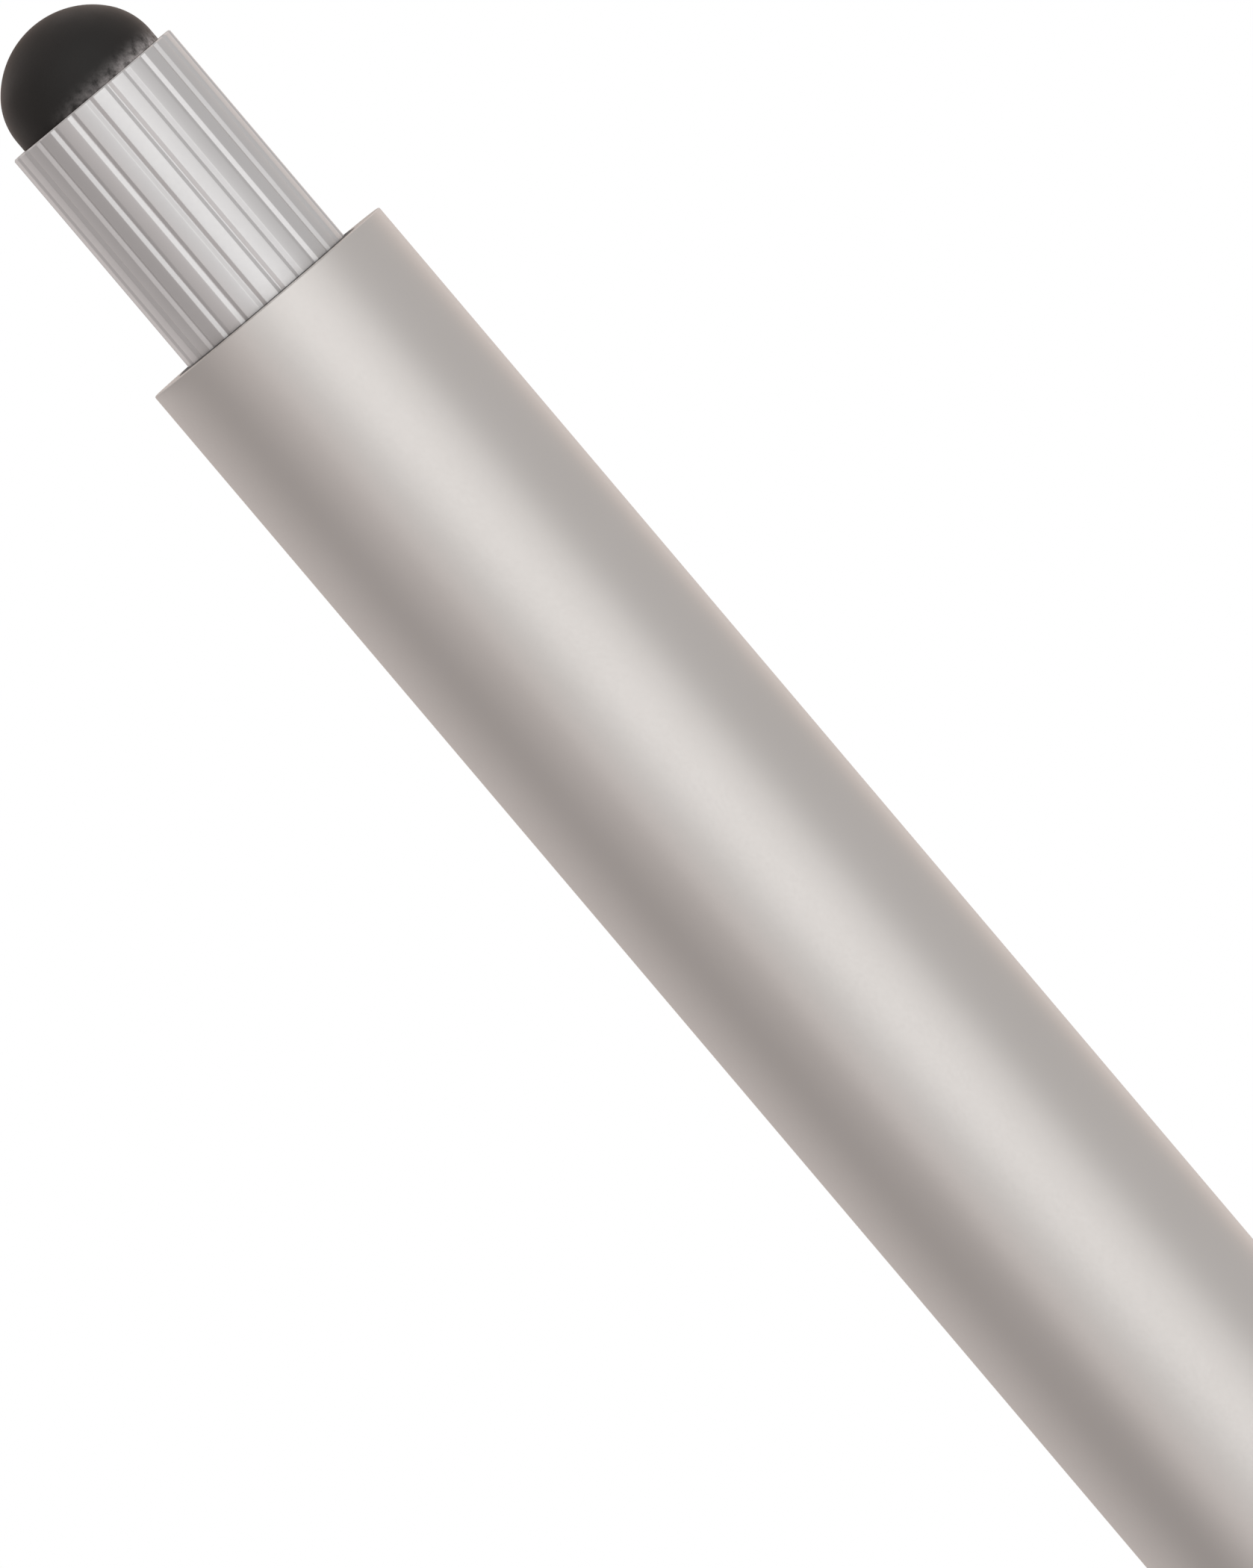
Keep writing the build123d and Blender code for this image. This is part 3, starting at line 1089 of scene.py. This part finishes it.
@dataclass
class FrontSection:
    """The front barrel, the ring behind it, the nose and the liner with its thread."""

    inside_r: float = 4.48
    barrel_len: float = 36.0
    edge: float = 0.12
    ring_w: float = 1.0
    ring_r: float = 5.05
    ring_bore_r: float = 3.80
    nose_x: float = 57.0
    nose_lip_r: float = 1.95
    nose_end_r: float = 1.6
    nose_lip: float = 0.5
    nose_hole_r: float = 1.25
    chamber_r: float = 2.55
    spigot_x: float = 31.0
    thread_x: float = -9.0
    thread_r: float = 3.75
    thread_depth: float = 0.34
    thread_turns: int = 7
    pitch: float = 1.0
    root_share: float = 0.38
    crest_share: float = 0.1
    ridge_sink: float = 0.1
    ridge_clear: float = 0.01
    small_round: float = 0.05
    hole_round: float = 0.1
    lead_round: float = 0.2

    def ring(self) -> None:
        """Builds the loose ring between the barrels."""
        ring = lathe("ring_band", band(-self.ring_w, 0.0, self.ring_bore_r, self.ring_r, self.edge))
        put(ring, Body.RING, Slot.SILVER, NOSE_TURNED, "trim_ring")

    def barrel(self) -> None:
        """Builds the plain front barrel."""
        tube = lathe("front_tube", band(0.0, self.barrel_len, BORE_R, BARREL_R, self.edge), steps=192)
        put(tube, Body.FRONT, Slot.BARREL, BARREL_SATIN, "front_barrel")

    def nose(self) -> None:
        """Builds the nose: a long tangent curve, a short lip, the point's hole and the spring's chamber."""
        start_x, lip_x = self.barrel_len + self.edge, self.nose_x - self.nose_lip
        run, fall = lip_x - start_x, BARREL_R - self.nose_lip_r
        flank_r = (run**2 + fall**2) / (2 * fall)
        sweep = degrees(acos((flank_r - fall) / flank_r))
        flank = arc((start_x, BARREL_R - flank_r), flank_r, 90, -sweep, steps=40)
        back = rounded(
            [
                (*flank[-1], 0.0),
                (self.nose_x, self.nose_end_r, self.hole_round),
                (self.nose_x, self.nose_hole_r, self.hole_round),
                (SEAT_X, self.nose_hole_r, self.hole_round),
                (SEAT_X, self.chamber_r, 0.0),
                (self.spigot_x, self.chamber_r, self.hole_round),
                (self.spigot_x, self.inside_r, self.lead_round),
                (self.barrel_len, self.inside_r, 0.0),
                (self.barrel_len, BARREL_R - self.edge, 0.0),
                (*flank[0], 0.0),
            ],
            closed=False,
        )
        nose = lathe("nose_shell", [*flank, *back[1:-1]])
        put(nose, Body.FRONT, Slot.SILVER, NOSE_TURNED, "nose_cone")

    def thread(self) -> Piece:
        """Makes the thread's ridge as a helix.

        Returns:
            The ridge, closed at both ends.
        """
        root_r = self.thread_r - self.thread_depth
        start_x = self.thread_x + self.edge + self.pitch / 2
        half_root, half_crest = self.root_share * self.pitch, self.crest_share * self.pitch
        foot_r, crest_r = root_r - self.ridge_sink, self.thread_r - self.ridge_clear
        section = [
            (start_x - half_root, foot_r),
            (start_x - half_crest, crest_r),
            (start_x + half_crest, crest_r),
            (start_x + half_root, foot_r),
        ]
        ridge = begin("thread_ridge")
        draw([Vector((x, 0, r)) * MM for x, r in [*section, section[0]]])
        tidy_mesh()
        bpy.ops.object.mode_set(mode="OBJECT")
        return wind(ridge, self.pitch, self.thread_turns, steps=64, sides=len(section))

    def liner(self) -> None:
        """Builds the liner with its threaded spigot."""
        root_r = self.thread_r - self.thread_depth
        outline = rounded(
            [
                (self.thread_x, self.chamber_r, self.hole_round),
                (self.thread_x, root_r, self.lead_round),
                (-self.ring_w, root_r, 0.0),
                (-self.ring_w, self.thread_r, self.small_round),
                (0.0, self.thread_r, 0.0),
                (0.0, self.inside_r, self.small_round),
                (self.spigot_x, self.inside_r, self.small_round),
                (self.spigot_x, self.chamber_r, self.small_round),
            ]
        )
        liner = lathe("liner_sleeve", outline, steps=96)
        combine(liner, self.thread(), "UNION")
        put(liner, Body.FRONT, Slot.LINER, LINER_BLACK, "front_liner")

    def build(self) -> None:
        """Builds the four pieces."""
        self.ring()
        self.barrel()
        self.nose()
        self.liner()


@dataclass
class ReturnSpring:
    """The wire spring between the refill's ears and the nose's seat."""

    ear_x: float = 32.5
    wire_d: float = 0.45
    wire_sides: int = 14
    coil_r: float = 2.025
    turns: int = 9
    stop_gap: float = 0.02
    stroke: float = 5.6

    def build(self) -> None:
        """Builds the coil at one length. The real spring shortens towards its seat as the refill comes
        forward.
        """
        start_x = self.ear_x + self.wire_d / 2 + self.stop_gap
        end_x = SEAT_X - self.wire_d / 2 - self.stop_gap
        bpy.ops.mesh.primitive_circle_add(
            vertices=self.wire_sides,
            radius=self.wire_d / 2 * MM,
            location=(start_x * MM, 0, self.coil_r * MM),
            rotation=(pi / 2, 0, 0),
        )
        coil = bpy.context.active_object
        coil.name = coil.data.name = "spring_coil"
        bpy.ops.object.transform_apply()
        pitch = (end_x - start_x) / self.turns
        wind(coil, pitch, self.turns, steps=48, sides=self.wire_sides, smooth=40.0)
        put(coil, Body.FRONT, Slot.SPRING, SPRING_DRAWN, "return_spring")
        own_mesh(coil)


@dataclass
class WritingPoint:
    """The turned point that comes out of the nose when the button is pressed."""

    insert_x: float = 36.0
    tube_end_x: float = 41.0
    lip_x: float = 55.92
    ball_x: float = 55.7
    socket_r: float = 0.53
    channel_r: float = 0.3
    insert_r: float = 0.98
    shoulder_r: float = 1.5
    shoulder: float = 0.6
    radius: float = 1.15
    cone: float = 2.8
    lip_r: float = 0.58
    lip_round: float = 0.02
    cone_round: float = 0.6
    edge: float = 0.1
    small_round: float = 0.05

    def build(self) -> None:
        """Builds the point with its ink channel and the ball's socket."""
        mouth_r = sqrt(self.socket_r**2 - (self.lip_x - self.ball_x) ** 2)
        throat_x = self.ball_x - sqrt(self.socket_r**2 - self.channel_r**2)
        first = degrees(atan2(self.channel_r, throat_x - self.ball_x))
        last = degrees(atan2(mouth_r, self.lip_x - self.ball_x))
        socket = arc((self.ball_x, 0.0), self.socket_r, first, last - first, steps=12)
        body = rounded(
            [
                (self.lip_x, mouth_r, 0.0),
                (self.lip_x, self.lip_r, self.lip_round),
                (self.lip_x - self.cone, self.radius, self.cone_round),
                (self.tube_end_x + self.shoulder, self.radius, self.edge),
                (self.tube_end_x + self.shoulder, self.shoulder_r, self.edge),
                (self.tube_end_x, self.shoulder_r, self.small_round),
                (self.tube_end_x, self.insert_r, 0.0),
                (self.insert_x, self.insert_r, self.edge),
                (self.insert_x, self.channel_r, self.small_round),
                (throat_x, self.channel_r, 0.0),
            ],
            closed=False,
        )
        point = lathe("point_shell", [*body, *socket[1:-1]], steps=96)
        put(point, Body.REFILL, Slot.POINT, POINT_TURNED, "point_body")


@dataclass
class Interior:
    """The pieces whose CAD shape is right, and which only get their finish."""

    def build(self) -> None:
        """Gives each node its material."""
        finishes: dict[str, Finish] = {
            "stylus_post": BRASS_TURNED,
            "coupling_bush": BRASS_TURNED,
            "plunger": ACETAL,
            "cam_sleeve": ACETAL,
            "rotor": ACETAL,
            "refill_tube": TUBE_CLEAR,
            "refill_plug": LINER_BLACK,
            "ink_column": INK_BLUE,
            "writing_ball": BALL_POLISHED,
        }
        for name, finish in finishes.items():
            dress(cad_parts[name], finish)
            log.info("%s: %s", name, finish.title)


@dataclass(frozen=True)
class Softbox:
    """A lamp with a broad even face, turned to the pen."""

    title: str
    elevation: float
    height: float
    strength: float
    along: float = -0.42
    distance: float = 0.6
    length: float = 1.3
    colour: str = "#FFFFFF"

    def hang(self) -> None:
        """Hangs the lamp. Elevation is from the photographer's side, over the top, to the far side."""
        angle = radians(self.elevation)
        back = Vector((0, -cos(angle), sin(angle)))
        data = bpy.data.lights.new(self.title, "AREA")
        data.shape = "RECTANGLE"
        data.size, data.size_y = self.length, self.height
        data.energy = self.strength * pi * self.length * self.height
        data.color = linear(self.colour)[:3]
        lamp = bpy.data.objects.new(self.title, data)
        bpy.context.scene.collection.objects.link(lamp)
        side = Vector((1, 0, 0))
        turn = Matrix((side, back.cross(side), back)).transposed().to_4x4()
        turn.translation = back * self.distance + side * self.along
        lamp.matrix_world = turn
        lamp.visible_camera = False


@dataclass
class Studio:
    """The pale floor, the soft light and the camera of the photograph."""

    floor_size: float = 8.0
    floor_colour: str = "#E6E4E2"
    mirror_tint: str = "#FFF7F5"
    shade_level: float = 0.41
    shade_near: float = 9.0
    shade_far: float = 160.0
    under_light_level: float = 0.34
    under_light_width: float = 7.0
    button_narrower: float = 0.44
    fill: float = 0.525
    fill_colour: str = "#FFFBFA"
    elevation: float = 27.03
    from_behind: float = 1.8
    roll: float = 49.73
    lens: float = 900.0
    sensor: float = 36.0
    view_depth: float = 20.0
    frame_height: float = 56.03
    centre_x: float = -47.57
    centre_across: float = -1.325

    def floor(self) -> None:
        """Lays the floor. The camera sees it plain white; metal sees its glow with a warm tint, with painted
        shade that dims it near the pen and a painted strip of light under the pen.
        """
        bpy.ops.mesh.primitive_plane_add(size=self.floor_size, location=(0, 0, -BARREL_R * MM))
        floor = bpy.context.active_object
        floor.name = "studio_floor"
        bpy.ops.object.transform_apply()
        material = bpy.data.materials.new("pale_floor")
        material.use_nodes = True
        tree = material.node_tree
        tree.nodes.clear()
        ray = add_node(tree, "LightPath").outputs
        seen = ray["Is Camera Ray"]
        mirrored = maths(tree, "MAXIMUM", ray["Is Glossy Ray"], ray["Is Transmission Ray"])
        place = add_node(tree, "TexCoord").outputs["Object"]
        parts = add_node(tree, "SeparateXYZ", {"Vector": place}).outputs
        # Painted shade: the glow that metal mirrors is dimmer near the pen, as if the pen shaded the floor.
        away = maths(tree, "ABSOLUTE", parts["Y"])
        near, far = log10(self.shade_near * MM), log10(self.shade_far * MM)
        painted_shade_near_pen = remap(tree, maths(tree, "LOGARITHM", away, 10.0), near, far, to_low=self.shade_level)
        # Painted light: the glow that metal mirrors has a brighter strip under the pen, and the strip is
        # narrower where the button is.
        behind = maths(tree, "LESS_THAN", parts["X"], RIM_X * MM)
        squeeze = maths(tree, "MULTIPLY_ADD", behind, self.button_narrower, 1.0)
        beside = maths(tree, "MULTIPLY", away, squeeze)
        painted_light_under = remap(tree, beside, 0.0, self.under_light_width * MM, to_low=self.under_light_level, to_high=0.0)
        glow = maths(tree, "MULTIPLY_ADD", mirrored, maths(tree, "ADD", painted_shade_near_pen, painted_light_under), seen)
        tint = blend(tree, seen, linear(self.mirror_tint), linear("#FFFFFF"))
        paint = add_node(tree, "BsdfDiffuse", {"Color": linear(self.floor_colour)}).outputs[0]
        white = add_node(tree, "Emission", {"Color": tint, "Strength": glow}).outputs[0]
        share = maths(tree, "ADD", seen, mirrored)
        mix = add_node(tree, "MixShader", {0: share, 1: paint, 2: white}).outputs[0]
        add_node(tree, "OutputMaterial", {"Surface": mix})
        floor.data.materials.append(material)

    def light(self) -> None:
        """Sets the even fill and hangs the softboxes."""
        world = bpy.data.worlds.new("studio_fill")
        bpy.context.scene.world = world
        world.use_nodes = True
        sky = world.node_tree.nodes["Background"]
        sky.inputs["Color"].default_value = linear(self.fill_colour)
        sky.inputs["Strength"].default_value = self.fill
        # The front softbox is brightest in its middle, so three lamps lie over each other.
        softboxes = [
            Softbox("front_softbox", elevation=47.5, height=1.18, strength=0.126),
            Softbox("front_softbox_middle", elevation=44.3, height=0.87, strength=0.232),
            Softbox("front_softbox_core", elevation=43.5, height=0.31, strength=0.154),
            Softbox("far_strip", elevation=170.0, height=0.22, strength=0.2, along=0.0, colour="#FFDDC8"),
        ]
        for softbox in softboxes:
            softbox.hang()

    def camera(self) -> None:
        """Sets the camera across the pen, turned as in the photograph, with a long lens."""
        rise, behind, roll = radians(self.elevation), radians(self.from_behind), radians(self.roll)
        back = Vector((-sin(behind), -cos(rise) * cos(behind), sin(rise) * cos(behind)))
        along = Vector((1, 0, 0)) - back * back.x
        along.normalize()
        across = back.cross(along)
        right = along * cos(roll) + across * sin(roll)
        up = across * cos(roll) - along * sin(roll)
        target = (Vector((self.centre_x, 0, 0)) + across * self.centre_across) * MM
        data = bpy.data.cameras.new("photo_camera")
        data.lens = self.lens
        data.sensor_width = self.sensor
        data.clip_end = self.view_depth
        camera = bpy.data.objects.new("photo_camera", data)
        bpy.context.scene.collection.objects.link(camera)
        place = Matrix((right, up, back)).transposed().to_4x4()
        place.translation = target + back * (self.lens / self.sensor * self.frame_height * MM)
        camera.matrix_world = place
        bpy.context.scene.camera = camera

    def build(self) -> None:
        """Builds the studio."""
        self.floor()
        self.light()
        self.camera()
        bpy.context.scene.view_settings.view_transform = "Standard"


def main() -> None:
    """Builds the pen and the studio."""
    logging.basicConfig(level=logging.INFO, format="%(name)s: %(message)s")
    pen = [Stylus(), PushButton(), RearBarrel(), GuideCollar(), PocketClip(), FrontSection()]
    inside = [ReturnSpring(), WritingPoint(), Interior()]
    for part in [*pen, *inside, Studio()]:
        part.build()


if __name__ == "__main__":
    main()
